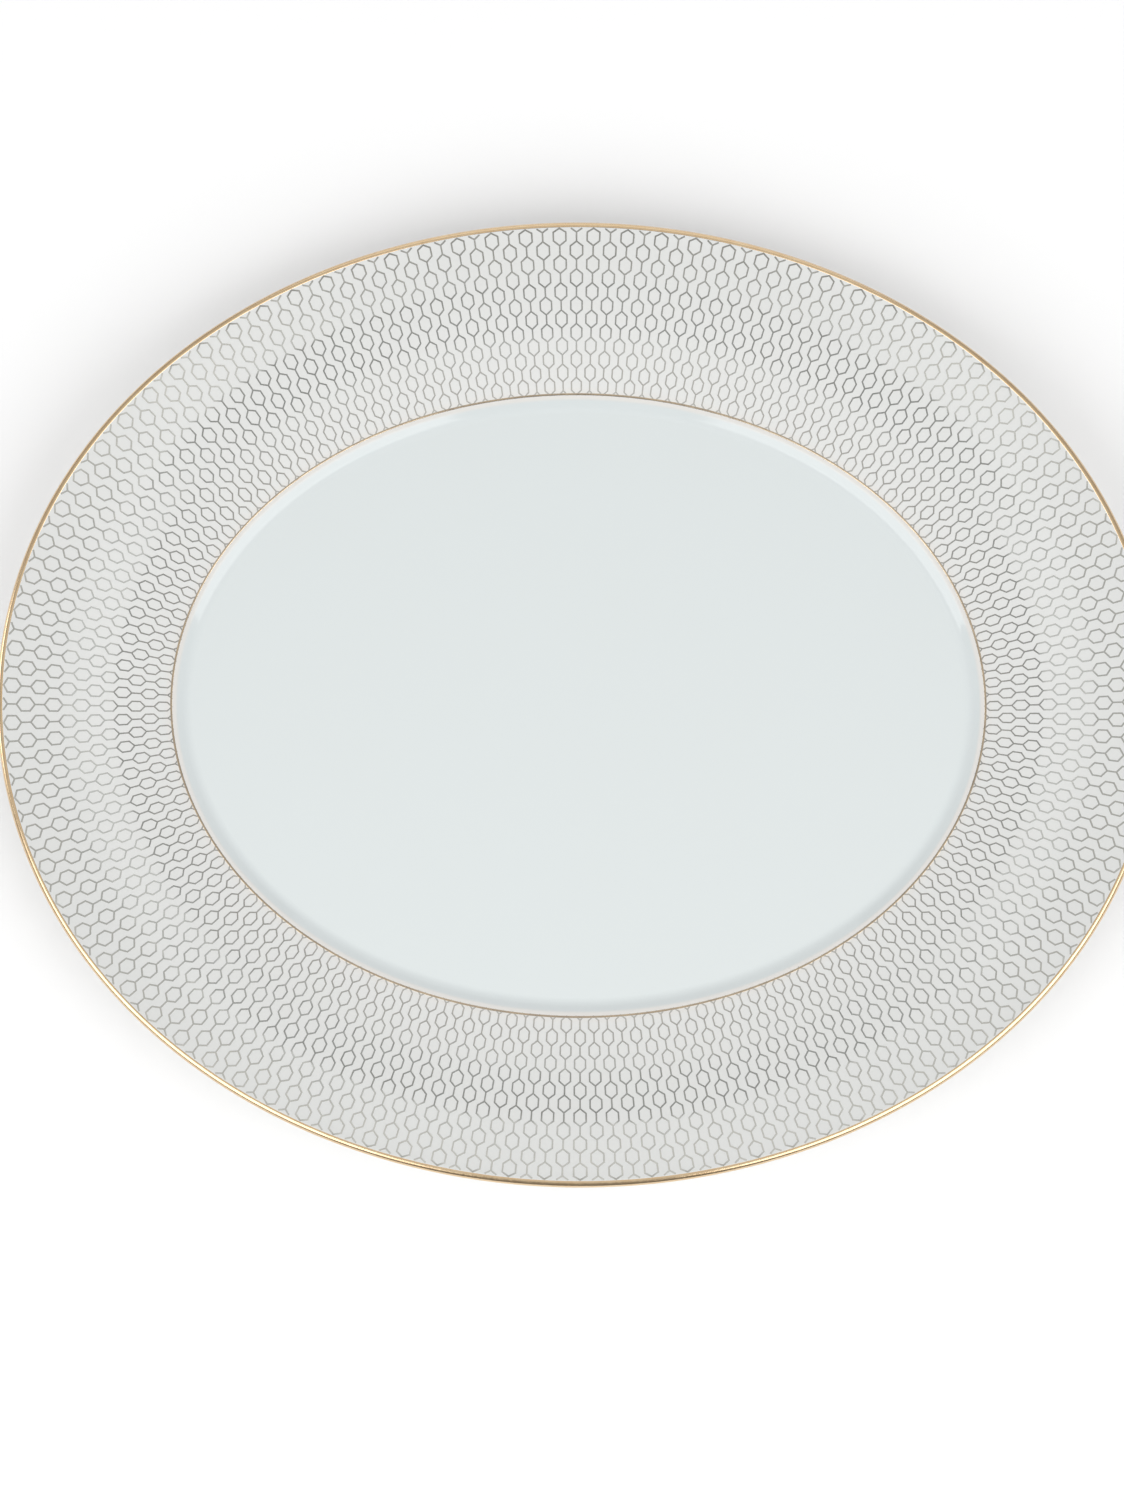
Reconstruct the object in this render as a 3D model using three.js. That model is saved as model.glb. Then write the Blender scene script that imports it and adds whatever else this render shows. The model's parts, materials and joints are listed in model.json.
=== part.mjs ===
// An oval china serving platter: fired body, glaze coats and overglaze gold, each as its own solid.
// Millimetres, +Z up, +X along the platter. The origin is the centre of the foot ring's face on the table.
import * as THREE from 'three';

// Driving dimensions, in plan. An offset is a distance outside the well line, or inside it where negative.
const LENGTH = 330; // over the gold edge
const WELL_LINE = { halfLength: 117, halfWidth: 90.4 }; // ellipse of the gold line round the well
const EDGE_BAND_OFFSET = 46; // where the gold edge band starts
const SHOULDER_OFFSET = -1; // where the well wall turns into the rim
const FOOT_OFFSET = -5.9; // the outer edge of the foot ring, at the table
const FLAT_OFFSET = -16; // inside this offset, floor and underside are flat

// Driving dimensions, in height.
const FOOT_HEIGHT = 3.2;
const BASE_THICKNESS = 3.8;
const WELL_DEPTH = 2.1; // from the gold line down to the floor of the well

// Slopes, as rise over run, and thicknesses of the section.
const RIM_SLOPE_INNER = 0.28;
const RIM_SLOPE_OUTER = 0.38;
const WALL_SLOPE = 0.65; // the wall between rim and well
const WALL_THICKNESS = 3.8;
const LIP_THICKNESS = 3;
const FOOT_WIDTH = 4.4;
const FOOT_TAPER = 0.3; // run over rise, on both sides of the foot ring
const FOOT_BEVEL = 0.3; // how far the bare face stands in from each glaze edge

// Rounded corners of the section: the radius, and the steps that the arc is made of.
const FLOOR_ROUND = { radius: 5, steps: 3 };
const SHOULDER_ROUND = { radius: 2, steps: 2 };
const RIM_ROUND = { radius: 480, steps: 2 };
const LIP_ROUND = { radius: 1.45, steps: 2 };
const UNDERSIDE_ROUND = { radius: 3, steps: 2 };
const FOOT_ROUND = { radius: 1.5, steps: 1 };

// Layers, from the body outwards. A gap keeps each one clear of the next.
const LAYER_GAP = 0.1;
const GLAZE_THICKNESS = 0.3;
const GOLD_THICKNESS = 0.15;
const GLAZE_STOP = 0.8; // height of the glaze edge above the table, on both sides of the foot ring

// Widths of gold and print, along the surface.
const WELL_LINE_WIDTH = 0.6;
const EDGE_BAND_WIDTH = 4.9; // from the upper face, round the lip, to the underside
const PRINT_MARGIN = 0.15; // bare glaze between the print and the gold on either side of it

const SEGMENTS = 60; // round the oval; a multiple of 4, so that both axes end on a vertex

// Sections are drawn in offset and height. Offsets are taken square to the well line, so the rim is equally
// wide all the way round, and the platter's axis stands at the offset of the line's half width.
const AXIS_OFFSET = -WELL_LINE.halfWidth;
const FOOT_INNER_OFFSET = FOOT_OFFSET - FOOT_WIDTH;
const FLOOR_HEIGHT = FOOT_HEIGHT + BASE_THICKNESS;
const LINE_HEIGHT = FLOOR_HEIGHT + WELL_DEPTH;
const BODY_DEPTH = GLAZE_THICKNESS + LAYER_GAP; // from the glazed surface in to the body
const PRINT_TOP = LAYER_GAP + GOLD_THICKNESS; // from the glazed surface out to the face of the gold
const GLAZED_RIM_WIDTH = LENGTH / 2 - WELL_LINE.halfLength - PRINT_TOP;

/** The point of a section at this offset and height. */
function at(offset, height) {
  return new THREE.Vector2(offset, height);
}

/** The vector a quarter turn to the left of this one. */
function leftOf(vector) {
  return at(-vector.y, vector.x);
}

/** The upward unit normal of a line that rises by this slope. */
function normalOf(slope) {
  return leftOf(at(1, slope).normalize());
}

/** The corner that lies a thickness under a corner between lines of two slopes. */
function cornerUnder(point, slopeBefore, slopeAfter, thickness) {
  const before = normalOf(slopeBefore);
  const after = normalOf(slopeAfter);
  const reach = thickness / (1 + before.dot(after));
  return point.clone().addScaledVector(before.add(after), -reach);
}

/** Samples of a line through rounded corners, each with its unit normal on the left of the line. */
function roundedLine(start, corners, end) {
  const stops = [start, ...corners.map((corner) => corner.point), end];
  const headings = stops.slice(1).map((stop, i) => stop.clone().sub(stops[i]).normalize());
  const samples = [{ point: start, normal: leftOf(headings[0]) }];
  corners.forEach(({ point, round }, i) => {
    const turn = Math.atan2(headings[i].cross(headings[i + 1]), headings[i].dot(headings[i + 1]));
    const side = Math.sign(turn);
    const setback = round.radius * Math.tan(Math.abs(turn) / 2);
    const toCentre = leftOf(headings[i]).multiplyScalar(side * round.radius);
    const centre = point.clone().addScaledVector(headings[i], -setback).add(toCentre);
    const startAngle = toCentre.negate().angle();
    const arc = new THREE.ArcCurve(centre.x, centre.y, round.radius, startAngle, startAngle + turn, turn < 0);
    for (const arcPoint of arc.getPoints(round.steps)) {
      const normal = centre.clone().sub(arcPoint).multiplyScalar(side / round.radius);
      samples.push({ point: arcPoint, normal });
    }
  });
  samples.push({ point: end, normal: leftOf(headings[headings.length - 1]) });
  return withRuns(samples);
}

/** Adds to each sample its run, the distance along the line from its start. */
function withRuns(samples) {
  let run = 0;
  return samples.map((sample, i) => {
    run += i === 0 ? 0 : sample.point.distanceTo(samples[i - 1].point);
    return { ...sample, run };
  });
}

/** The run at which a line that starts on the axis first reaches an offset. */
function runAtOffset(line, offset) {
  const next = line.findIndex((sample) => sample.point.x >= offset);
  const [before, after] = [line[next - 1], line[next]];
  const share = (offset - before.point.x) / (after.point.x - before.point.x);
  return THREE.MathUtils.lerp(before.run, after.run, share);
}

/** The sample at a run, between the line's own samples. */
function sampleAtRun(line, run) {
  const next = line.findIndex((sample) => sample.run >= run);
  const [before, after] = [line[next - 1], line[next]];
  const share = (run - before.run) / (after.run - before.run);
  return {
    point: before.point.clone().lerp(after.point, share),
    normal: before.normal.clone().lerp(after.normal, share),
    run,
  };
}

/** The stretch of a line between two runs. */
function stretch(line, fromRun, toRun) {
  const inside = line.filter((sample) => sample.run > fromRun && sample.run < toRun);
  return [sampleAtRun(line, fromRun), ...inside, sampleAtRun(line, toRun)];
}

/** The points that lie a height above a line's samples, or under them where it is negative. */
function raised(line, height) {
  return line.map(({ point, normal }) => point.clone().addScaledVector(normal, height));
}

/** The glazed surface outside the foot ring: well, wall, rim, lip, underside and outer side of the foot. */
function outerSurface() {
  const shoulder = at(SHOULDER_OFFSET, LINE_HEIGHT + RIM_SLOPE_INNER * SHOULDER_OFFSET);
  const floorCorner = at(shoulder.x - (shoulder.y - FLOOR_HEIGHT) / WALL_SLOPE, FLOOR_HEIGHT);
  const lipNormal = normalOf(RIM_SLOPE_OUTER);
  const lipBulge = -LIP_THICKNESS * lipNormal.x + LIP_ROUND.radius * (1 - lipNormal.y + lipNormal.x);
  const lipOffset = GLAZED_RIM_WIDTH - lipBulge;
  const bend = at(lipOffset / 2, LINE_HEIGHT + (RIM_SLOPE_INNER * lipOffset) / 2);
  const lipTop = at(lipOffset, bend.y + (RIM_SLOPE_OUTER * lipOffset) / 2);
  const lipBottom = lipTop.clone().addScaledVector(lipNormal, -LIP_THICKNESS);
  const middleThickness = (LIP_THICKNESS + WALL_THICKNESS) / 2;
  const bendUnder = cornerUnder(bend, RIM_SLOPE_INNER, RIM_SLOPE_OUTER, middleThickness);
  const shoulderUnder = cornerUnder(shoulder, WALL_SLOPE, RIM_SLOPE_INNER, WALL_THICKNESS);
  const footTop = at(FOOT_OFFSET + FOOT_TAPER * FOOT_HEIGHT, FOOT_HEIGHT);
  const glazeEdge = at(FOOT_OFFSET + FOOT_TAPER * GLAZE_STOP, GLAZE_STOP);
  const corners = [
    { point: floorCorner, round: FLOOR_ROUND },
    { point: shoulder, round: SHOULDER_ROUND },
    { point: bend, round: RIM_ROUND },
    { point: lipTop, round: LIP_ROUND },
    { point: lipBottom, round: LIP_ROUND },
    { point: bendUnder, round: RIM_ROUND },
    { point: shoulderUnder, round: UNDERSIDE_ROUND },
    { point: footTop, round: FOOT_ROUND },
  ];
  return roundedLine(at(AXIS_OFFSET, FLOOR_HEIGHT), corners, glazeEdge);
}

/** The glazed surface of the recess, from the inner side of the foot ring to the axis. */
function recessSurface() {
  const glazeEdge = at(FOOT_INNER_OFFSET - FOOT_TAPER * GLAZE_STOP, GLAZE_STOP);
  const footTop = at(FOOT_INNER_OFFSET - FOOT_TAPER * FOOT_HEIGHT, FOOT_HEIGHT);
  return roundedLine(glazeEdge, [{ point: footTop, round: FOOT_ROUND }], at(AXIS_OFFSET, FOOT_HEIGHT));
}

/** The plan position of an offset at an angle. Inside the flat base the ovals shrink evenly. */
function planPoint(offset, angle) {
  const { halfLength, halfWidth } = WELL_LINE;
  const outward = at(halfWidth * Math.cos(angle), halfLength * Math.sin(angle)).normalize();
  const shapedOffset = Math.max(offset, FLAT_OFFSET);
  const shrink = (offset - AXIS_OFFSET) / (shapedOffset - AXIS_OFFSET);
  const line = at(halfLength * Math.cos(angle), halfWidth * Math.sin(angle));
  return line.addScaledVector(outward, shapedOffset).multiplyScalar(shrink);
}

/** The solid that a section makes when it is carried round the oval. */
function carriedRound(section) {
  const profile = [...section].reverse(); // a lathe faces outwards when its profile runs anticlockwise
  const lathed = new THREE.LatheGeometry(profile.map((p) => at(p.x - AXIS_OFFSET, p.y)), SEGMENTS);
  const position = lathed.getAttribute('position');
  for (let i = 0; i < position.count; i++) {
    const { x: offset, y: height } = profile[i % profile.length];
    const segment = Math.floor(i / profile.length) % SEGMENTS;
    const plan = planPoint(offset, (2 * Math.PI * segment) / SEGMENTS);
    position.setXYZ(i, plan.x, plan.y, height);
  }
  lathed.computeVertexNormals();
  return lathed;
}

/** A section between two heights above a stretch of surface, closed on itself. */
function bandSection(line, low, high) {
  const outer = raised(line, high);
  return [...outer, ...raised(line, low).reverse(), outer[0]];
}

const outer = outerSurface();
const recess = recessSurface();

const bareInset = BODY_DEPTH + FOOT_BEVEL;
const bodySection = [
  ...raised(outer, -BODY_DEPTH),
  at(FOOT_OFFSET - bareInset, 0),
  at(FOOT_INNER_OFFSET + bareInset, 0),
  ...raised(recess, -BODY_DEPTH),
];
const glazeSection = [...raised(outer, 0), ...raised(outer, -GLAZE_THICKNESS).reverse()];
const recessGlazeSection = [...raised(recess, -GLAZE_THICKNESS).reverse(), ...raised(recess, 0)];

const wellLineRun = runAtOffset(outer, 0);
const edgeBandRun = runAtOffset(outer, EDGE_BAND_OFFSET);
const wellLineEnd = wellLineRun + WELL_LINE_WIDTH;
const wellLine = stretch(outer, wellLineRun, wellLineEnd);
const border = stretch(outer, wellLineEnd + PRINT_MARGIN, edgeBandRun - PRINT_MARGIN);
const edgeBand = stretch(outer, edgeBandRun, edgeBandRun + EDGE_BAND_WIDTH);

const CHINA = { color: 0xf2efe8, roughness: 0.75, metalness: 0 };
const GLAZE = { color: 0xe6eaea, roughness: 0.08, metalness: 0 };
const PRINT = { color: 0x9a9c98, roughness: 0.35, metalness: 0.6 };
const GOLD = { color: 0xc9973f, roughness: 0.2, metalness: 1 };

const platter = new THREE.Group();

/** Adds a named piece of the platter. */
function addPiece(name, section, finish) {
  const piece = new THREE.Mesh(carriedRound(section), new THREE.MeshStandardMaterial(finish));
  piece.name = name;
  platter.add(piece);
}

addPiece('china_body', bodySection, CHINA);
addPiece('clear_glaze', glazeSection, GLAZE);
addPiece('recess_glaze', recessGlazeSection, GLAZE);
addPiece('lattice_border', bandSection(border, LAYER_GAP, PRINT_TOP), PRINT);
addPiece('gold_well_line', bandSection(wellLine, LAYER_GAP, PRINT_TOP), GOLD);
addPiece('gold_edge_band', bandSection(edgeBand, LAYER_GAP, PRINT_TOP), GOLD);

export default platter;
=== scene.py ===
# The china serving platter's looks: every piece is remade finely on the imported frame, then lit and framed.
import json
import math

import bpy
import numpy as np
from mathutils import Matrix, Vector


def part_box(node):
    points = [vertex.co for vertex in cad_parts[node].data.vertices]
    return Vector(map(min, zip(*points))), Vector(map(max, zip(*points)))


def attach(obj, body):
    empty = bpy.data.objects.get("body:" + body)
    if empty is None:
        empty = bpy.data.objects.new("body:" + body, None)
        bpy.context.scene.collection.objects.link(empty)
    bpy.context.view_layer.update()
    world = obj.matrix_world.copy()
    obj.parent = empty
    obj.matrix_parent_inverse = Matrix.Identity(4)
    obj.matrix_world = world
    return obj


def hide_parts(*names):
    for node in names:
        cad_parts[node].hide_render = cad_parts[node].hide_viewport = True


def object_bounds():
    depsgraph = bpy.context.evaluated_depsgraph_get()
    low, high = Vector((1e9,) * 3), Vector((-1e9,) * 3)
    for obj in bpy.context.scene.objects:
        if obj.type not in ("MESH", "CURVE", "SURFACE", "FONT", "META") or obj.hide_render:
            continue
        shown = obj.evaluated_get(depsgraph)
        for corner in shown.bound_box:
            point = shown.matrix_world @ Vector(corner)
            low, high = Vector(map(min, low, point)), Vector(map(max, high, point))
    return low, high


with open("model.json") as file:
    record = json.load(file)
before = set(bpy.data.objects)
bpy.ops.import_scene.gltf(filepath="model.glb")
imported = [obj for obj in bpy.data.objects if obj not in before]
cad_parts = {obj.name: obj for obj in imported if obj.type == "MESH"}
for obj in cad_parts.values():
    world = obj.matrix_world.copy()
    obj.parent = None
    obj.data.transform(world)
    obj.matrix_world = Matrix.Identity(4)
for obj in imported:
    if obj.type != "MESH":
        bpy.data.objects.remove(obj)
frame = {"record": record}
cad_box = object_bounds()

MM = 0.001

# ---------------------------------------------------------------- sizes
# Sections are drawn in offset and height, in metres. An offset is a distance outside the ellipse of the gold
# well line, taken square to it, so that the rim is equally wide all the way round.

# Gold, print and glaze, as thicknesses and as widths along the surface.
GLAZE_THICKNESS = 0.4 * MM
FUSED_DEPTH = 0.02 * MM  # how far decoration sinks into the glaze
GOLD_HEIGHT = 0.07 * MM
PRINT_HEIGHT = 0.035 * MM
WELL_LINE_WIDTH = 0.6 * MM
EDGE_BAND_WIDTH = 4.9 * MM
EDGE_BAND_REACH = 1.75 * MM  # how far the gold band reaches in from the platter's edge, seen from above
FILM_TAPER = 0.35 * MM  # width over which the gold band thins out to nothing at its edges

# The section, as the frame's solids have it but with its real rounds.
SHOULDER_OFFSET = -1.0 * MM
FLAT_OFFSET = -16.0 * MM  # inside this offset, floor and underside are flat
RIM_SLOPE_INNER = 0.28
RIM_SLOPE_OUTER = 0.38
WALL_SLOPE = 0.65
WALL_THICKNESS = 3.8 * MM
LIP_THICKNESS = 3.0 * MM
FOOT_WIDTH = 4.4 * MM
FOOT_TAPER = 0.3
FLOOR_ROUND = 5.0 * MM
SHOULDER_ROUND = 2.0 * MM
RIM_ROUND = 480.0 * MM
LIP_ROUND = 1.45 * MM
UNDERSIDE_ROUND = 3.0 * MM
FOOT_ROUND = 1.5 * MM
FOOT_EDGE_ROUND = 0.35 * MM

# Where the section stands, read from the frame.
mounts = {mount["name"]: mount["pos_m"] for mount in frame["record"]["mounts"]}
CAD_GOLD_LOW, CAD_GOLD_TOP = 0.10 * MM, 0.25 * MM  # how far above the glaze the frame's gold starts and ends
line_low, line_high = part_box("gold_well_line")
INNER_TILT = math.atan(RIM_SLOPE_INNER)
LINE_REACH = WELL_LINE_WIDTH * math.cos(INNER_TILT) - CAD_GOLD_TOP * math.sin(INNER_TILT)
WELL_HALF_LENGTH = line_high.x - LINE_REACH
WELL_HALF_WIDTH = line_high.y - LINE_REACH
LINE_HEIGHT = line_low.z - CAD_GOLD_LOW * math.cos(INNER_TILT)
FLOOR_HEIGHT = mounts["well_floor"][2]
FOOT_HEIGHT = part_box("recess_glaze")[1].z
GLAZE_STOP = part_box("clear_glaze")[0].z
GLAZED_RIM_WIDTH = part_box("gold_edge_band")[1].x - CAD_GOLD_TOP - WELL_HALF_LENGTH
FOOT_MIDDLE = mounts["foot_ring_face"][0] - WELL_HALF_LENGTH
FOOT_OFFSET = FOOT_MIDDLE + FOOT_WIDTH / 2
FOOT_INNER_OFFSET = FOOT_MIDDLE - FOOT_WIDTH / 2
AXIS_OFFSET = -WELL_HALF_WIDTH
EDGE_BAND_OFFSET = GLAZED_RIM_WIDTH - EDGE_BAND_REACH

# The lattice: columns of hexagonal cells joined by bars, every other column shifted by half a repeat.
COLUMNS = 182
REPEAT = 7.43 * MM  # from a cell to the next one in its column
CELLS = 6  # in each column
FIRST_COLUMN = 0.42  # how far the first column stands from +X, in repeats of two columns
CELL_LENGTH = 0.66  # in repeats
CELL_SLANT = 0.175  # in repeats, the length of a cell's slanted ends
CELL_HALF_WIDTH = 0.37  # in column pitches
FORK_LENGTH = 0.175  # in repeats, of the fork that ends a column where its next cell is cut off
FORK_HALF_WIDTH = 0.33  # in column pitches
LIP_MARGIN = 0.035  # in repeats, how far short of the gold band the lines' centres stop
LINE_WIDTH = 0.42 * MM

# How finely the solids are built.
AROUND = 480  # steps round the oval
MEASURING_STEPS = 7200  # round the oval, where the lattice's columns are spaced along it
ARC_STEP = math.radians(4)
SUPPORT = 0.3 * MM  # how close to a rounded corner a straight run has its first point
LONGEST_RUN = 4.0 * MM
EDGE_STEPS = 8  # in the half circle of a coat's rolled edge
BEAD_STEPS = 12  # across the well line
TAPER_STEPS = 5  # across the thinning edge of the gold band
CREASE = math.radians(35)  # corners sharper than this stay sharp when shaded


# ---------------------------------------------------------------- sections
def at(offset, height):
    return np.array([offset, height])


def unit(vector):
    return vector / np.linalg.norm(vector)


def left_of(vector):
    return np.array([-vector[1], vector[0]])


def turned(vector, angle):
    cos, sin = math.cos(angle), math.sin(angle)
    return np.array([cos * vector[0] - sin * vector[1], sin * vector[0] + cos * vector[1]])


def normal_of(slope):
    """The upward unit normal of a line that rises by this slope."""
    return left_of(unit(at(1, slope)))


def corner_under(point, slope_before, slope_after, thickness):
    """The corner that lies a thickness under a corner between lines of two slopes."""
    before, after = normal_of(slope_before), normal_of(slope_after)
    return point - (before + after) * thickness / (1 + before @ after)


def straight_run(start, end):
    """Points between two corners' rounds, with one close to either end, or none where there is no room."""
    length = np.linalg.norm(end - start)
    if length < 3 * SUPPORT:
        return []
    first, last = SUPPORT / length, 1 - SUPPORT / length
    steps = max(1, math.ceil(length / LONGEST_RUN))
    return [start + (end - start) * share for share in np.linspace(first, last, steps + 1)]


def rounded_line(start, corners, end):
    """A line through rounded corners, as rows of point and unit normal on the left of the line."""
    stops = [start, *[point for point, _ in corners], end]
    headings = [unit(after - before) for before, after in zip(stops, stops[1:])]
    rows = [(start, left_of(headings[0]))]
    for (corner, radius), before, after in zip(corners, headings, headings[1:]):
        turn = math.atan2(before[0] * after[1] - before[1] * after[0], before @ after)
        to_centre = left_of(before) * math.copysign(radius, turn)
        arc_start = corner - before * radius * math.tan(abs(turn) / 2)
        centre = arc_start + to_centre
        rows += [(point, left_of(before)) for point in straight_run(rows[-1][0], arc_start)]
        for angle in np.linspace(0, turn, 2 + math.ceil(abs(turn) / ARC_STEP)):
            rows.append((centre - turned(to_centre, angle), turned(left_of(before), angle)))
    rows += [(point, left_of(headings[-1])) for point in straight_run(rows[-1][0], end)]
    rows.append((end, left_of(headings[-1])))
    return np.array(rows)


def runs_of(line):
    """The distance along a line from its start to each of its points."""
    steps = np.linalg.norm(np.diff(line[:, 0], axis=0), axis=1)
    return np.concatenate([[0], np.cumsum(steps)])


def on_line(line, runs):
    """Rows of point and normal where a line has run these distances."""
    known = runs_of(line)
    rows = [[np.interp(runs, known, line[:, i, j]) for j in (0, 1)] for i in (0, 1)]
    return np.array(rows).transpose(2, 0, 1)


def run_at_offset(line, offset):
    """How far a line that starts on the axis has run where it first reaches an offset."""
    lip = int(np.argmax(line[:, 0, 0]))
    return float(np.interp(offset, line[:lip, 0, 0], runs_of(line)[:lip]))


def raised(line, height):
    """The points that lie a height above a line, or under it where it is negative."""
    return line[:, 0] + line[:, 1] * np.reshape(height, (-1, 1))


def outer_surface():
    """The glazed surface outside the foot ring: well, wall, rim, lip, underside and the foot's outer side."""
    shoulder = at(SHOULDER_OFFSET, LINE_HEIGHT + RIM_SLOPE_INNER * SHOULDER_OFFSET)
    floor_corner = at(shoulder[0] - (shoulder[1] - FLOOR_HEIGHT) / WALL_SLOPE, FLOOR_HEIGHT)
    lip_normal = normal_of(RIM_SLOPE_OUTER)
    lip_bulge = -LIP_THICKNESS * lip_normal[0] + LIP_ROUND * (1 - lip_normal[1] + lip_normal[0])
    lip_offset = GLAZED_RIM_WIDTH - lip_bulge
    bend = at(lip_offset / 2, LINE_HEIGHT + RIM_SLOPE_INNER * lip_offset / 2)
    lip_top = at(lip_offset, bend[1] + RIM_SLOPE_OUTER * lip_offset / 2)
    middle_thickness = (LIP_THICKNESS + WALL_THICKNESS) / 2
    corners = [
        (floor_corner, FLOOR_ROUND),
        (shoulder, SHOULDER_ROUND),
        (bend, RIM_ROUND),
        (lip_top, LIP_ROUND),
        (lip_top - lip_normal * LIP_THICKNESS, LIP_ROUND),
        (corner_under(bend, RIM_SLOPE_INNER, RIM_SLOPE_OUTER, middle_thickness), RIM_ROUND),
        (corner_under(shoulder, WALL_SLOPE, RIM_SLOPE_INNER, WALL_THICKNESS), UNDERSIDE_ROUND),
        (at(FOOT_OFFSET + FOOT_TAPER * FOOT_HEIGHT, FOOT_HEIGHT), FOOT_ROUND),
    ]
    glaze_edge = at(FOOT_OFFSET + FOOT_TAPER * GLAZE_STOP, GLAZE_STOP)
    return rounded_line(at(AXIS_OFFSET, FLOOR_HEIGHT), corners, glaze_edge)


def recess_surface():
    """The glazed surface of the recess, from the inner side of the foot ring to the axis."""
    glaze_edge = at(FOOT_INNER_OFFSET - FOOT_TAPER * GLAZE_STOP, GLAZE_STOP)
    foot_top = at(FOOT_INNER_OFFSET - FOOT_TAPER * FOOT_HEIGHT, FOOT_HEIGHT)
    return rounded_line(glaze_edge, [(foot_top, FOOT_ROUND)], at(AXIS_OFFSET, FOOT_HEIGHT))


def rolled_edge(point, normal, ahead):
    """The rounded edge in which a glaze coat stops, from its outer face to its inner face."""
    radius = GLAZE_THICKNESS / 2
    centre = point - normal * radius
    angles = np.linspace(0, math.pi, EDGE_STEPS + 1)[1:-1]
    return np.array([centre + radius * (normal * math.cos(a) + ahead * math.sin(a)) for a in angles])


# ---------------------------------------------------------------- solids
def turns(count):
    """Angles spread evenly over one turn."""
    return np.arange(count) * 2 * math.pi / count


def outward_at(angle):
    """Unit vectors that point square out of the well line, for an array of angles."""
    vectors = np.stack([WELL_HALF_WIDTH * np.cos(angle), WELL_HALF_LENGTH * np.sin(angle)], -1)
    return vectors / np.linalg.norm(vectors, axis=-1, keepdims=True)


def plan_points(offset, angle):
    """Plan positions of offsets at angles. Inside the flat base the ovals shrink evenly to the centre."""
    shaped = np.maximum(offset, FLAT_OFFSET)
    shrink = (offset - AXIS_OFFSET) / (shaped - AXIS_OFFSET)
    line = np.stack([WELL_HALF_LENGTH * np.cos(angle), WELL_HALF_WIDTH * np.sin(angle)], -1)
    return (line + outward_at(angle) * shaped[..., None]) * shrink[..., None]


def new_piece(name, vertices, faces, offsets, material):
    """A named mesh object that keeps each point's offset, in millimetres, as an attribute."""
    mesh = bpy.data.meshes.new(name)
    mesh.from_pydata(vertices, [], faces)
    attribute = mesh.attributes.new("offset_mm", "FLOAT", "POINT")
    attribute.data.foreach_set("value", (np.asarray(offsets) / MM).astype(np.float32))
    mesh.materials.append(material)
    mesh.shade_smooth()
    mesh.set_sharp_from_angle(angle=CREASE)
    piece = bpy.data.objects.new(name, mesh)
    bpy.context.scene.collection.objects.link(piece)
    return piece


def swept_piece(name, section, material):
    """The solid that a section makes when it is carried round the oval.

    The section is listed clockwise. It starts and ends on the axis, or else it closes on itself.
    """
    on_axis = section[0][0] <= AXIS_OFFSET + SUPPORT / 2
    rings = section[1:-1] if on_axis else section
    angles = turns(AROUND)
    offsets = np.repeat(rings[:, :1], AROUND, axis=1)
    heights = np.repeat(rings[:, 1:], AROUND, axis=1)
    plan = plan_points(offsets, np.broadcast_to(angles, offsets.shape))
    vertices = np.dstack([plan, heights]).reshape(-1, 3).tolist()
    vertex_offsets = offsets.ravel().tolist()
    ring_pairs = [(i, i + 1) for i in range(len(rings) - 1)]
    if not on_axis:
        ring_pairs.append((len(rings) - 1, 0))
    steps = [(j, (j + 1) % AROUND) for j in range(AROUND)]
    faces = [
        (low * AROUND + here, high * AROUND + here, high * AROUND + there, low * AROUND + there)
        for low, high in ring_pairs
        for here, there in steps
    ]
    if on_axis:
        poles = len(vertices), len(vertices) + 1
        vertices += [(0, 0, section[0][1]), (0, 0, section[-1][1])]
        vertex_offsets += [AXIS_OFFSET, AXIS_OFFSET]
        last = (len(rings) - 1) * AROUND
        faces += [(poles[0], here, there) for here, there in steps]
        faces += [(poles[1], last + there, last + here) for here, there in steps]
    return new_piece(name, vertices, faces, vertex_offsets, material)


def film_section(line, height):
    """A film on a stretch of surface, sunk a little into it. Its height is one value or one per point."""
    return np.concatenate([raised(line, height), raised(line, -FUSED_DEPTH)[::-1]])


def make_body(outer, recess, material):
    """The fired body: it fills the glaze, and its foot face is bare."""
    body_outer, body_recess = raised(outer, -GLAZE_THICKNESS), raised(recess, -GLAZE_THICKNESS)
    face = [
        (at(FOOT_OFFSET - GLAZE_THICKNESS, 0), FOOT_EDGE_ROUND),
        (at(FOOT_INNER_OFFSET + GLAZE_THICKNESS, 0), FOOT_EDGE_ROUND),
    ]
    foot = rounded_line(body_outer[-1], face, body_recess[0])[1:-1, 0]
    return swept_piece("fine_china_body", np.concatenate([body_outer, foot, body_recess]), material)


def make_outer_glaze(outer, material):
    """The glaze coat over well, rim and underside, down to its stop on the outside of the foot."""
    point, normal = outer[-1]
    edge = rolled_edge(point, normal, -left_of(normal))
    section = np.concatenate([outer[:, 0], edge, raised(outer, -GLAZE_THICKNESS)[::-1]])
    return swept_piece("fine_clear_glaze", section, material)


def make_recess_glaze(recess, material):
    """The glaze coat inside the foot ring."""
    point, normal = recess[0]
    edge = rolled_edge(point, normal, left_of(normal))[::-1]
    section = np.concatenate([raised(recess, -GLAZE_THICKNESS)[::-1], edge, recess[:, 0]])
    return swept_piece("fine_recess_glaze", section, material)


def make_well_line(outer, material):
    """The thin gold line round the well: a low bead, as a banding brush leaves it."""
    start = run_at_offset(outer, 0)
    shares = np.linspace(-1, 1, BEAD_STEPS + 1)
    line = on_line(outer, start + WELL_LINE_WIDTH * (shares + 1) / 2)
    bead = GOLD_HEIGHT * np.sqrt(1 - shares**2)
    return swept_piece("fine_gold_well_line", film_section(line, bead), material)


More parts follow.
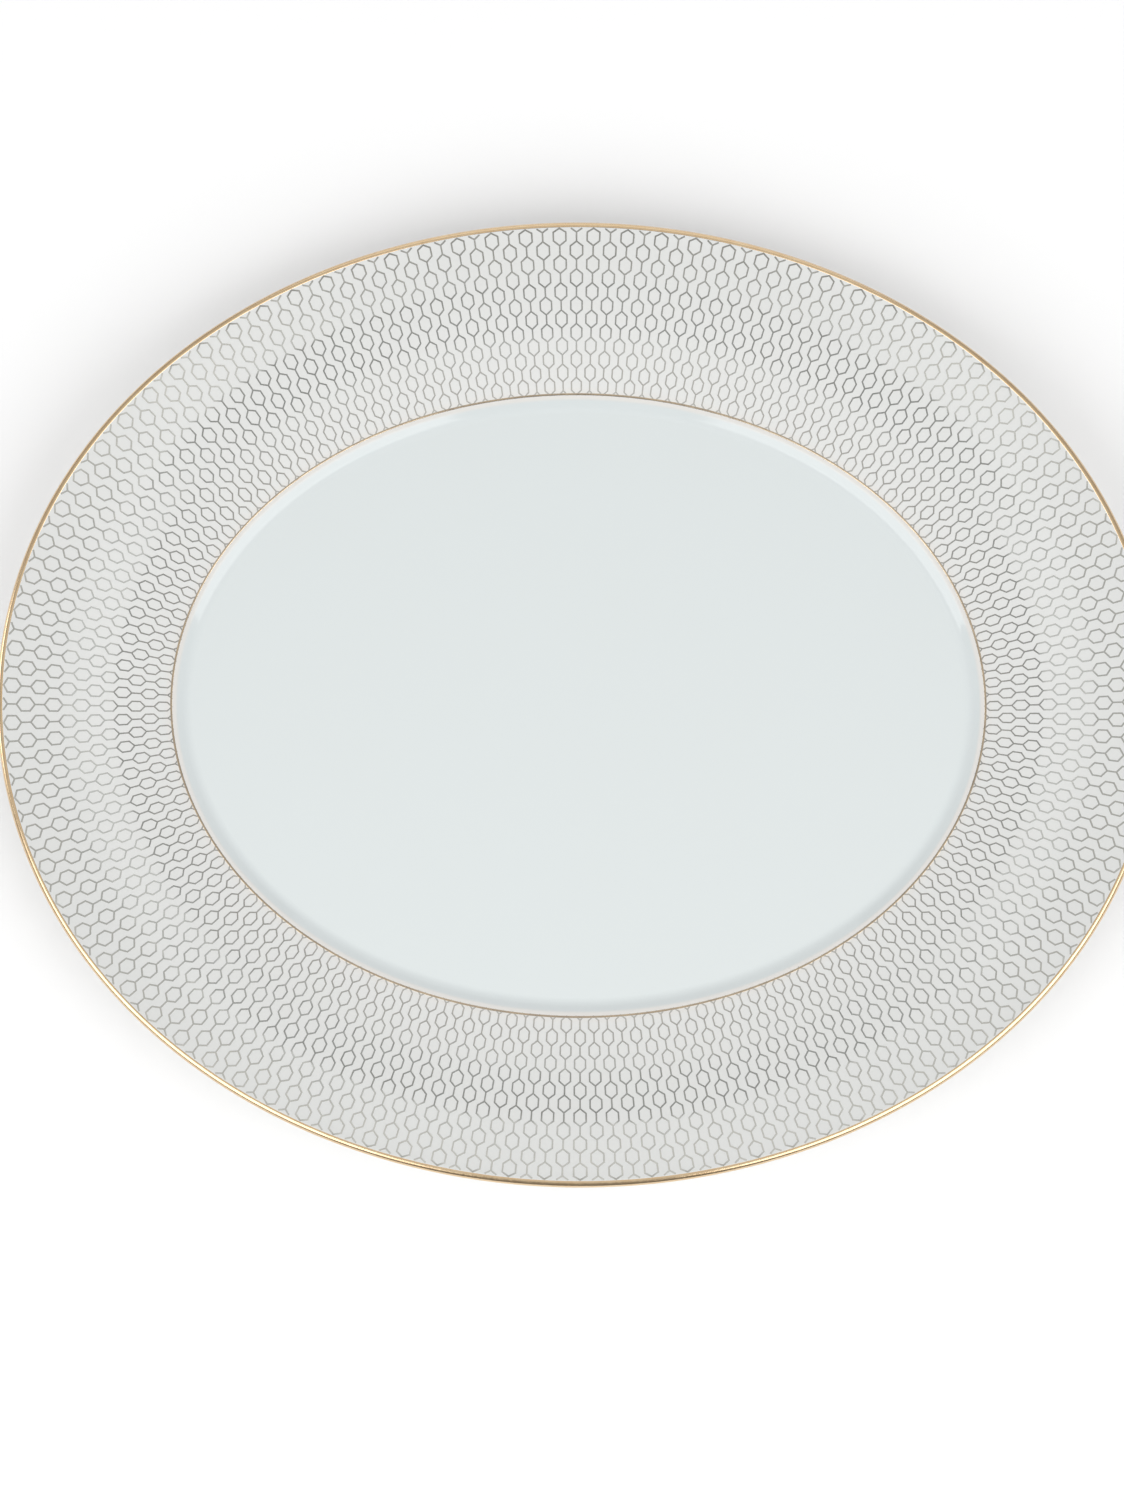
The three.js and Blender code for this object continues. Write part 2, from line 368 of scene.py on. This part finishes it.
def make_edge_band(outer, material):
    """The gold band, from the upper face round the lip to the underside, thinned out towards its edges."""
    start = run_at_offset(outer, EDGE_BAND_OFFSET)
    end = start + EDGE_BAND_WIDTH
    known = runs_of(outer)
    inside = known[(known > start + FILM_TAPER) & (known < end - FILM_TAPER)]
    taper = np.linspace(0, FILM_TAPER, TAPER_STEPS + 1)
    runs = np.concatenate([start + taper, inside, end - taper[::-1]])
    margin = np.clip(np.minimum(runs - start, end - runs) / FILM_TAPER, 0, 1)
    film = GOLD_HEIGHT * np.sqrt(margin * (2 - margin))
    return swept_piece("fine_gold_edge_band", film_section(on_line(outer, runs), film), material)


# ---------------------------------------------------------------- the printed lattice
def chain_network(starts_with_cell):
    """One column's nodes and edges. A node is a share of the column pitch and a depth in from the gold band.

    Depths are in repeats. A column ends in a fork where its next cell is cut off: at the well line if it
    starts with a cell at the band, or else at the band.
    """
    nodes, edges = [], []

    def add(across, depth):
        nodes.append((across, depth))
        return len(nodes) - 1

    first_start = 0.0 if starts_with_cell else 0.5
    last_end = None
    for start in first_start + np.arange(CELLS):
        end = start + CELL_LENGTH
        top = add(0, start)
        sides = [
            (add(side * CELL_HALF_WIDTH, start + CELL_SLANT), add(side * CELL_HALF_WIDTH, end - CELL_SLANT))
            for side in (-1, 1)
        ]
        bottom = add(0, end)
        for upper, lower in sides:
            edges += [(top, upper), (upper, lower), (lower, bottom)]
        if last_end is not None:
            edges.append((last_end, top))
        last_end = bottom
    if starts_with_cell:
        stem, fork_end = add(0, CELLS), CELLS + FORK_LENGTH
        edges.append((last_end, stem))
    else:
        stem, fork_end = add(0, FORK_LENGTH), 0.0
        edges.append((stem, 0))  # node 0 is the first cell's top
    edges += [(stem, add(side * FORK_HALF_WIDTH, fork_end)) for side in (-1, 1)]
    return np.array(nodes), edges


def network_outline(points, edges, widths):
    """The corners and faces of flat lines of these widths along a network's edges, mitred where they meet.

    Where lines meet, the corner between two neighbours lies half a width from the middle of both. Where three
    meet, they leave a gap with a face of its own.
    """
    around = [[] for _ in points]
    for a, b in edges:
        for here, there in ((a, b), (b, a)):
            heading = unit(points[there] - points[here])
            around[here].append((math.atan2(heading[1], heading[0]), there, heading))
    corners, faces = [], []
    beside = {}  # the corners on the right and left of each line, where it leaves a point
    for here, spokes in enumerate(around):
        spokes.sort(key=lambda spoke: spoke[0])
        half = widths[here] / 2
        if len(spokes) == 1:
            _, there, heading = spokes[0]
            corners += [points[here] - left_of(heading) * half, points[here] + left_of(heading) * half]
            beside[here, there] = (len(corners) - 2, len(corners) - 1)
            continue
        first = len(corners)
        for (_, _, heading), (_, _, following) in zip(spokes, spokes[1:] + spokes[:1]):
            sides = left_of(heading) - left_of(following)
            reach = half / (1 - left_of(heading) @ left_of(following))
            corners.append(points[here] + sides * reach)
        for i, (_, there, _) in enumerate(spokes):
            beside[here, there] = (first + (i - 1) % len(spokes), first + i)
        if len(spokes) == 3:
            faces.append((first, first + 1, first + 2))
    for a, b in edges:
        right_here, left_here = beside[a, b]
        right_there, left_there = beside[b, a]
        faces.append((right_here, left_there, right_there, left_here))
    return np.array(corners), faces


def boundary_of(faces):
    """The directed edges that only one face has."""
    sides = {(a, b) for face in faces for a, b in zip(face, face[1:] + face[:1])}
    return [(a, b) for a, b in sides if (b, a) not in sides]


def lattice_stations():
    """The columns' angles round the well line, their pitch at mid rim and the line's radius of curvature."""
    fine = np.linspace(0, 2 * math.pi, MEASURING_STEPS + 1)
    middle = plan_points(np.full_like(fine, GLAZED_RIM_WIDTH / 2), fine)
    lengths = np.concatenate([[0], np.cumsum(np.linalg.norm(np.diff(middle, axis=0), axis=1))])
    shares = (np.arange(COLUMNS) / 2 + FIRST_COLUMN) / (COLUMNS / 2) % 1
    angles = np.interp(shares * lengths[-1], lengths, fine)
    squared_speeds = (WELL_HALF_LENGTH * np.sin(angles)) ** 2 + (WELL_HALF_WIDTH * np.cos(angles)) ** 2
    radii = squared_speeds**1.5 / (WELL_HALF_LENGTH * WELL_HALF_WIDTH)
    return angles, lengths[-1] / COLUMNS, radii


def column_outline(network, radius, pitch):
    """The corners and faces of one column's lines laid flat. Columns grow wider as the oval does."""
    nodes, edges = network
    offset = EDGE_BAND_OFFSET - np.maximum(nodes[:, 1], LIP_MARGIN) * REPEAT
    fan = (radius + offset) / (radius + GLAZED_RIM_WIDTH / 2)
    points = np.stack([nodes[:, 0] * pitch * fan, offset], -1)
    return network_outline(points, edges, LINE_WIDTH * fan**0.5)


def laid_on_rim(rim, angle, radius, corners):
    """The points and normals of the rim's surface under a column's corners, and the offsets there."""
    across, local = corners.T
    offsets = local + across**2 / (2 * (radius + local))  # the oval curves away from the column's tangent
    height = np.interp(offsets, rim[:, 0, 0], rim[:, 0, 1])
    normal = [np.interp(offsets, rim[:, 0, 0], rim[:, 1, i]) for i in (0, 1)]
    outward = outward_at(np.array(angle))
    along = left_of(outward)
    base = plan_points(np.array(0.0), np.array(angle))
    plan = base + outward * local[:, None] + along * across[:, None]
    lean = outward + along * (across / (radius + local))[:, None]
    lean /= np.linalg.norm(lean, axis=1, keepdims=True)
    points = np.column_stack([plan, height])
    return points, np.column_stack([lean * normal[0][:, None], normal[1]]), offsets


def make_lattice(outer, material):
    """Every printed line of the border as a thin solid on the rim's glaze."""
    rim = outer[: int(np.argmax(outer[:, 0, 0]))]
    networks = [chain_network(True), chain_network(False)]
    angles, pitch, radii = lattice_stations()
    all_vertices, all_faces, all_offsets = [], [], []
    for column, (angle, radius) in enumerate(zip(angles, radii)):
        corners, faces = column_outline(networks[column % 2], radius, pitch)
        points, normals, offsets = laid_on_rim(rim, angle, radius, corners)
        first, count = len(all_offsets), len(corners)
        for height in (PRINT_HEIGHT, -FUSED_DEPTH):
            all_vertices += (points + normals * height).tolist()
            all_offsets += offsets.tolist()
        top = [tuple(first + i for i in face) for face in faces]
        all_faces += top
        all_faces += [tuple(i + count for i in reversed(face)) for face in top]
        all_faces += [(b, a, a + count, b + count) for a, b in boundary_of(top)]
    return new_piece("fine_lattice_border", all_vertices, all_faces, all_offsets, material)


# ---------------------------------------------------------------- materials
# Tones are linear red, green and blue. Where a list gives them with offsets, those are in millimetres.
# The glaze's tones by offset: its own tone, with painted shade over the well's wall and towards the rim's
# edge.
GLAZE_TONES_AND_PAINTED_SHADE = [
    (-14.0, (0.672, 0.714, 0.714)),
    (-5.5, (0.672, 0.714, 0.714)),
    # Painted shade: the glaze is a little darker over the well's wall, from -3.4 to -1.6 mm.
    (-3.4, (0.665, 0.708, 0.711)),
    (-1.6, (0.665, 0.708, 0.711)),
    (-0.7, (0.725, 0.705, 0.675)),
    (1.2, (0.725, 0.715, 0.690)),
    (2.6, (0.725, 0.728, 0.712)),
    # Painted shade: the rim's tone darkens from 2.6 mm out to the edge, as shade where the rim tilts further
    # out.
    (46.0, (0.700, 0.705, 0.690)),
]
GLAZE_MOTTLE = (0.66, 0.67, 0.65)
LUSTRE_TONES = [(0.0, (0.72, 0.71, 0.67)), (21.0, (0.66, 0.675, 0.65)), (46.0, (0.69, 0.69, 0.645))]
LUSTRE_THIN = (0.78, 0.75, 0.67)
BARE_TONE = (0.80, 0.765, 0.70)
BARE_GRAIN = (0.70, 0.66, 0.60)
BARE_SCUFF = (0.50, 0.48, 0.45)
SCUFF_START, SCUFF_FULL, SCUFF_SHARE = 0.56, 0.70, 0.5  # the noise at which scuffs start and are strongest
GOLD_LINE_TONE = (0.46, 0.385, 0.30)
GOLD_BAND_TONE = (0.73, 0.53, 0.32)
GOLD_TONES = [(0.0, GOLD_LINE_TONE), (4.0, GOLD_BAND_TONE), (46.0, GOLD_BAND_TONE)]
GOLD_STREAK = (0.84, 0.68, 0.46)

# Roughnesses, from the glossiest patches to the dullest, and the heights of bumps.
GLAZE_ROUGHNESS = (0.05, 0.09)
LUSTRE_ROUGHNESS = (0.07, 0.11)
BARE_ROUGHNESS = (0.75, 0.95)
GOLD_ROUGHNESS = (0.12, 0.24)
GLAZE_WAVE_HEIGHT = 0.04 * MM
BARE_GRAIN_HEIGHT = 0.04 * MM
GOLD_BRUSH_HEIGHT = 0.01 * MM
GLASS_IOR = 1.5  # of the glaze and of the glass in fired china
NOISE_LOW, NOISE_HIGH = 0.3, 0.7  # what most of a noise lies between
MIX_FIRST, MIX_SECOND, MIX_RESULT = 6, 7, 2  # where a Mix node has its colour sockets


def add_node(tree, kind, inputs=None, **settings):
    """A shader node with settings on itself, and with inputs set to a value or linked to a socket."""
    made = tree.nodes.new("ShaderNode" + kind)
    for key, value in settings.items():
        setattr(made, key, value)
    for key, value in (inputs or {}).items():
        if isinstance(value, bpy.types.NodeSocket):
            tree.links.new(value, made.inputs[key])
        else:
            made.inputs[key].default_value = value
    return made


def add_ramp(tree, factor, stops, interpolation="EASE"):
    """A colour ramp. Stops are (position, grey value) or (position, (red, green, blue))."""
    ramp = add_node(tree, "ValToRGB", {"Fac": factor})
    elements = ramp.color_ramp.elements
    ramp.color_ramp.interpolation = interpolation
    while len(elements) < len(stops):
        elements.new(1.0)
    for element, (position, value) in zip(elements, stops):
        element.position = position
        red, green, blue = value if isinstance(value, tuple) else (value,) * 3
        element.color = (red, green, blue, 1.0)
    return ramp.outputs["Color"]


def calculate(tree, operation, first, second=0.0, third=0.0):
    """The result of a maths node."""
    return add_node(tree, "Math", {0: first, 1: second, 2: third}, operation=operation).outputs[0]


def mapped(tree, value, low, high, new_low=0.0, new_high=1.0):
    """A value's range mapped to another, kept within it."""
    inputs = {"Value": value, "From Min": low, "From Max": high, "To Min": new_low, "To Max": new_high}
    return add_node(tree, "MapRange", inputs).outputs["Result"]


def noise(tree, size, detail=3.0, roughness=0.5, flatten=1.0):
    """Noise on the object's own coordinates, with patches of about this size, flattened in height."""
    place = add_node(tree, "TexCoord").outputs["Object"]
    placed = add_node(tree, "Mapping", {"Vector": place, "Scale": (1, 1, flatten)}).outputs["Vector"]
    inputs = {"Vector": placed, "Scale": 1 / size, "Detail": detail, "Roughness": roughness}
    return add_node(tree, "TexNoise", inputs).outputs["Fac"]


def tinted(tree, colour, other, share):
    """A colour mixed towards another by a share that is a socket or a number."""
    mix = add_node(tree, "Mix", {"Factor": share}, data_type="RGBA")
    for index, value in ((MIX_FIRST, colour), (MIX_SECOND, other)):
        if isinstance(value, bpy.types.NodeSocket):
            tree.links.new(value, mix.inputs[index])
        else:
            mix.inputs[index].default_value = (*value, 1.0)
    return mix.outputs[MIX_RESULT]


def new_material(name, colour, roughness, bump_height=None, bump_distance=0.0, **fixed):
    """A material round one Principled shader. Functions add the nodes of its varied inputs to its tree."""
    material = bpy.data.materials.new(name)
    material.use_nodes = True
    tree = material.node_tree
    shader = tree.nodes["Principled BSDF"]
    tree.links.new(colour(tree), shader.inputs["Base Color"])
    tree.links.new(roughness(tree), shader.inputs["Roughness"])
    if bump_height is not None:
        inputs = {"Height": bump_height(tree), "Distance": bump_distance, "Strength": 1.0}
        bump = add_node(tree, "Bump", inputs)
        tree.links.new(bump.outputs["Normal"], shader.inputs["Normal"])
    for key, value in fixed.items():
        shader.inputs[key.replace("_", " ")].default_value = value
    return material


def offset_in_mm(tree):
    return add_node(tree, "Attribute", attribute_name="offset_mm").outputs["Fac"]


def spread(tree, value, low=0.0, high=1.0):
    """A noise's usual range, spread over these values."""
    return mapped(tree, value, NOISE_LOW, NOISE_HIGH, low, high)


def banded(tree, stops):
    """A tone that changes with the offset. Stops are (offset in millimetres, tone), inwards first."""
    first, last = stops[0][0], stops[-1][0]
    place = mapped(tree, offset_in_mm(tree), first, last)
    return add_ramp(tree, place, [((offset - first) / (last - first), tone) for offset, tone in stops])


def glaze_colour(tree):
    """White china under glaze: faintly blue in the well, neutral on the rim and warmer by the gold line.
    Painted shade makes it a little darker over the well's wall and towards the rim's edge.
    """
    mottle = spread(tree, noise(tree, size=30 * MM), high=0.06)
    return tinted(tree, banded(tree, GLAZE_TONES_AND_PAINTED_SHADE), GLAZE_MOTTLE, mottle)


def glaze_roughness(tree):
    return spread(tree, noise(tree, size=16 * MM, detail=4.0), *GLAZE_ROUGHNESS)


def glaze_waves(tree):
    return noise(tree, size=18 * MM, detail=1.0)


def bare_colour(tree):
    """Fired china with a fine grain, grey where the foot has been scuffed."""
    grain = spread(tree, noise(tree, size=0.4 * MM, detail=6.0, roughness=0.7))
    speckled = tinted(tree, BARE_TONE, BARE_GRAIN, grain)
    wear = noise(tree, size=2.5 * MM, detail=5.0, roughness=0.8)
    scuffs = mapped(tree, wear, SCUFF_START, SCUFF_FULL, 0.0, SCUFF_SHARE)
    return tinted(tree, speckled, BARE_SCUFF, scuffs)


def bare_roughness(tree):
    return spread(tree, noise(tree, size=1.1 * MM), *BARE_ROUGHNESS)


def bare_grain(tree):
    return noise(tree, size=0.33 * MM, detail=6.0, roughness=0.75)


def lustre_colour(tree):
    """Metallic lustre, greyest at the middle of the rim, warmer to both sides and paler in slow patches."""
    thin = spread(tree, noise(tree, size=8 * MM, detail=4.0), high=0.25)
    return tinted(tree, banded(tree, LUSTRE_TONES), LUSTRE_THIN, thin)


def lustre_roughness(tree):
    return spread(tree, noise(tree, size=3.5 * MM), *LUSTRE_ROUGHNESS)


def gold_colour(tree):
    """Burnished gold with level streaks from the brush, browner where it is thin in the well line."""
    streaks = spread(tree, noise(tree, size=4 * MM, detail=5.0, roughness=0.6, flatten=4.0), high=0.5)
    return tinted(tree, banded(tree, GOLD_TONES), GOLD_STREAK, streaks)


def gold_roughness(tree):
    return spread(tree, noise(tree, size=2 * MM, detail=5.0, roughness=0.7), *GOLD_ROUGHNESS)


def gold_brushing(tree):
    return noise(tree, size=1.1 * MM, roughness=0.6, flatten=3.0)


# ---------------------------------------------------------------- the stage
# The studio's ceiling is a pale oval panel with a dark gap and a bright seam round it. Places on it are where
# a direction meets a plane one unit above the platter, and a reach of 1 is the oval's seam.
PANEL_REACH_X = 0.477
PANEL_REACH_Y = 0.62
PANEL_CENTRE_Y = 0.176
CEILING_END = 1.4  # the reach beyond which the ceiling is even
CEILING = [
    (0.0, 0.80),
    (0.68, 0.78),
    (0.80, 0.62),
    (0.89, 0.33),
    (0.935, 0.33),
    (0.985, 0.92),
    (1.01, 0.92),
    (1.06, 0.54),
    (CEILING_END, 0.54),
]
WALL_SHARE = 0.35  # how bright the horizon is against the ceiling
WALL_LOW, WALL_TOP = 0.05, 0.35  # sines of the elevations between which the walls brighten
FRONT_SHARE = 0.5  # how bright the studio's front is against its other sides
FRONT_END, FRONT_START = -0.62, -0.42  # Y of the directions where the front is darkest and where it begins

# Softboxes: azimuth, zenith angle and radius as seen from the platter, in degrees, and the brightness, where
# white paper is 1.
SOFTBOX_DISTANCE = 2.0
SOFTBOXES = {
    "front_left": (222, 48, 24, 2.28),
    "front_right": (318, 48, 24, 2.33),
    "left": (172, 72, 12, 2.4),
    "right": (8, 72, 12, 2.4),
    "back": (90, 68, 26, 0.48),
}

FLOOR_RADIUS = 12.0
FLOOR_SIDES = 96
FLOOR_TONE = (0.93, 0.93, 0.93)
FLOOR_WEAR = (0.95, 0.95, 0.95)
FLOOR_ROUGHNESS = (0.85, 0.95)
FLOOR_SPECULAR = 0.1

# The camera, as shares of the platter's length, with its height counted from the gold well line.
CAMERA_PLACE = (-0.00299, -0.35002, 2.31209)
CAMERA_TURN = (0.1318, 0.0046, 0.0089)  # radians about its own axes, one after the other
LENS, SENSOR_WIDTH = 64.21, 36.0
NEAREST, FARTHEST = 0.01, 100.0  # what it sees lies between these distances


def floor_colour(tree):
    return tinted(tree, FLOOR_TONE, FLOOR_WEAR, noise(tree, size=330 * MM))


def floor_roughness(tree):
    return spread(tree, noise(tree, size=25 * MM), *FLOOR_ROUGHNESS)


def make_floor():
    """A plain pale floor, wide enough to reach the horizon in every view."""
    ring = [(FLOOR_RADIUS * math.cos(a), FLOOR_RADIUS * math.sin(a), 0) for a in turns(FLOOR_SIDES)]
    mesh = bpy.data.meshes.new("floor")
    mesh.from_pydata(ring, [], [tuple(range(FLOOR_SIDES))])
    paint = new_material("floor_paint", floor_colour, floor_roughness, Specular_IOR_Level=FLOOR_SPECULAR)
    mesh.materials.append(paint)
    floor = bpy.data.objects.new("floor", mesh)
    bpy.context.scene.collection.objects.link(floor)


def make_dome():
    """The studio's ceiling and walls, which light the platter and show in its lustre and gold."""
    world = bpy.data.worlds.new("studio")
    world.use_nodes = True
    bpy.context.scene.world = world
    tree = world.node_tree
    direction = add_node(tree, "TexCoord").outputs["Generated"]
    parts = add_node(tree, "SeparateXYZ", {"Vector": direction})
    east, north, up = (parts.outputs[axis] for axis in "XYZ")
    height = calculate(tree, "MAXIMUM", up, WALL_LOW)
    across = calculate(tree, "DIVIDE", calculate(tree, "DIVIDE", east, height), PANEL_REACH_X)
    shifted = calculate(tree, "SUBTRACT", calculate(tree, "DIVIDE", north, height), PANEL_CENTRE_Y)
    along = calculate(tree, "DIVIDE", shifted, PANEL_REACH_Y)
    squares = calculate(tree, "MULTIPLY_ADD", across, across, calculate(tree, "MULTIPLY", along, along))
    reach = calculate(tree, "DIVIDE", calculate(tree, "SQRT", squares), CEILING_END)
    stops = [(place / CEILING_END, level) for place, level in CEILING]
    ceiling = add_ramp(tree, reach, stops, "LINEAR")
    horizon = mapped(tree, up, WALL_LOW, WALL_TOP, WALL_SHARE, 1.0)
    front = mapped(tree, north, FRONT_END, FRONT_START, FRONT_SHARE, 1.0)
    share = calculate(tree, "MULTIPLY", horizon, front)
    background = tree.nodes["Background"]
    tree.links.new(ceiling, background.inputs["Color"])
    tree.links.new(share, background.inputs["Strength"])


def make_softbox(name, azimuth, zenith, spread_angle, brightness):
    """A round soft light aimed at the platter. No view sees it directly."""
    azimuth, zenith, spread_angle = (math.radians(angle) for angle in (azimuth, zenith, spread_angle))
    across = math.sin(zenith)
    towards = Vector((across * math.cos(azimuth), across * math.sin(azimuth), math.cos(zenith)))
    radius = SOFTBOX_DISTANCE * math.tan(spread_angle)
    light = bpy.data.lights.new(name + "_softbox", "AREA")
    light.shape = "DISK"
    light.size = 2 * radius
    light.energy = brightness * (math.pi * radius) ** 2  # brightness times area times pi
    lamp = bpy.data.objects.new(light.name, light)
    bpy.context.scene.collection.objects.link(lamp)
    lamp.location = towards * SOFTBOX_DISTANCE
    lamp.rotation_euler = towards.to_track_quat("Z", "Y").to_euler()
    lamp.visible_camera = False


def make_camera():
    """A camera that looks down at the platter from a little in front of it."""
    length = cad_box[1].x - cad_box[0].x
    camera = bpy.data.cameras.new("camera")
    camera.sensor_width = SENSOR_WIDTH
    camera.lens = LENS
    camera.clip_start, camera.clip_end = NEAREST, FARTHEST
    viewer = bpy.data.objects.new("camera", camera)
    bpy.context.scene.collection.objects.link(viewer)
    viewer.location = Vector(CAMERA_PLACE) * length + Vector((0, 0, LINE_HEIGHT))
    about_x, about_y, about_z = (Matrix.Rotation(angle, 3, axis) for angle, axis in zip(CAMERA_TURN, "XYZ"))
    viewer.rotation_euler = (about_x @ about_y @ about_z).to_euler()
    bpy.context.scene.camera = viewer


# ---------------------------------------------------------------- the whole
outer = outer_surface()
recess = recess_surface()
glaze = new_material(
    "glazed_china", glaze_colour, glaze_roughness, glaze_waves, GLAZE_WAVE_HEIGHT, IOR=GLASS_IOR
)
gold = new_material(
    "burnished_gold", gold_colour, gold_roughness, gold_brushing, GOLD_BRUSH_HEIGHT, Metallic=1.0
)
bare = new_material(
    "bare_china", bare_colour, bare_roughness, bare_grain, BARE_GRAIN_HEIGHT, IOR=GLASS_IOR
)
lustre = new_material("printed_lustre", lustre_colour, lustre_roughness, Metallic=1.0)

PIECES = [
    (make_body(outer, recess, bare), "china_body", "bare_china"),
    (make_outer_glaze(outer, glaze), "clear_glaze", "glaze"),
    (make_recess_glaze(recess, glaze), "recess_glaze", "glaze"),
    (make_lattice(outer, lustre), "lattice_border", "border_print"),
    (make_well_line(outer, gold), "gold_well_line", "gold"),
    (make_edge_band(outer, gold), "gold_edge_band", "gold"),
]
for piece, node, slot in PIECES:
    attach(piece, "root")
    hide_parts(node)

make_floor()
make_dome()
for name, place_and_brightness in SOFTBOXES.items():
    make_softbox(name, *place_and_brightness)
make_camera()
bpy.context.scene.view_settings.view_transform = "Standard"
